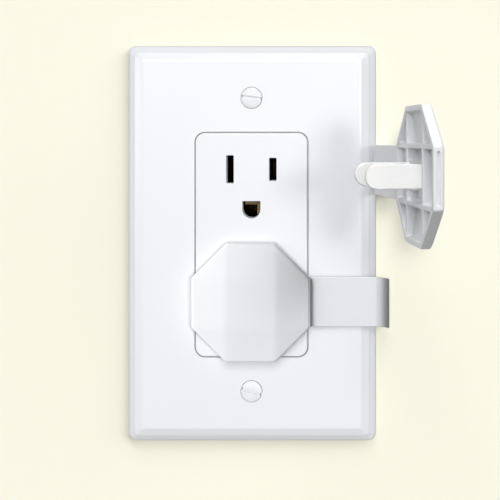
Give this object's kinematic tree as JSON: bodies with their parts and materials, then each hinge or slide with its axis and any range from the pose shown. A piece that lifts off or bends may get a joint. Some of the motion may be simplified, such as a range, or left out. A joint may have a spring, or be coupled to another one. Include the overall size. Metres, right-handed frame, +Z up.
{
  "type": "wall outlet with tethered safety caps",
  "caption": "Decorator wall outlet, plate over a duplex receptacle, with two octagonal plug-in safety caps on flat straps hooked round the plate's edge.",
  "frame": {"origin": "the middle of the wall plate's bottom rim, on the plane where the rim meets the wall", "axes": "+X to the right seen from the room, +Y into the wall, +Z up; the plate's front faces -Y"},
  "size_m": [0.0852, 0.0849, 0.1191],
  "materials": {
    "plate": "satin white moulded plastic",
    "face": "satin white moulded plastic",
    "body": "dark moulded plastic",
    "cap": "soft white plastic",
    "strap": "soft flexible white plastic",
    "prong": "white rigid plastic",
    "painted_screw": "white enamelled steel",
    "steel": "zinc plated steel",
    "brass": "stamped brass",
    "nickel": "nickel plated",
    "green_screw": "green dyed steel"
  },
  "bodies": {
    "outlet": {"wall_plate": "plate", "plate_screw_upper": "painted_screw", "plate_screw_lower": "painted_screw", "receptacle_face": "face", "receptacle_body": "body", "mounting_yoke": "steel", "ground_contact_strap": "brass", "hot_contact_bus": "brass", "neutral_contact_bus": "brass", "ground_terminal_screw": "green_screw", "assembly_rivet_upper_left": "steel", "assembly_rivet_upper_right": "steel", "assembly_rivet_lower_left": "steel", "assembly_rivet_lower_right": "steel", "hot_terminal_screw_upper": "brass", "neutral_terminal_screw_upper": "nickel", "hot_wire_clamp_upper": "steel", "neutral_wire_clamp_upper": "steel", "upper_strap_hook": "strap", "hot_terminal_screw_lower": "brass", "neutral_terminal_screw_lower": "nickel", "hot_wire_clamp_lower": "steel", "neutral_wire_clamp_lower": "steel", "lower_strap_hook": "strap"},
    "upper_strap": {"upper_strap": "strap"},
    "upper_cap": {"upper_cap_shell": "cap", "upper_cap_prong_left": "prong", "upper_cap_prong_right": "prong"},
    "lower_strap": {"lower_strap": "strap"},
    "lower_cap": {"lower_cap_shell": "cap", "lower_cap_prong_left": "prong", "lower_cap_prong_right": "prong"}
  },
  "joints": [
    {"name": "upper_cap_swing", "type": "hinge", "parent": "outlet", "child": "upper_strap", "pos_m": [0.03715, -0.0069, 0.08105], "axis": [0, 0, 1], "range_deg": [-64.5, 57.5]},
    {"name": "upper_cap_tilt", "type": "hinge", "parent": "upper_strap", "child": "upper_cap", "pos_m": [0.04089, -0.02586, 0.08105], "axis": [0, 0, 1], "range_deg": [-15, 15]},
    {"name": "lower_cap_pull", "type": "slide", "parent": "outlet", "child": "lower_cap", "axis": [0, -1, 0], "range_m": [0, 0.0145]},
    {"name": "lower_strap_swing", "type": "hinge", "parent": "outlet", "child": "lower_strap", "pos_m": [0.03715, -0.0069, 0.04195], "axis": [0, 0, 1], "range_deg": [0, 49.1]}
  ],
  "couplings": [
    {"joint": "lower_strap_swing", "follows": "lower_cap_pull", "rad_per_m": 58.521}
  ]
}
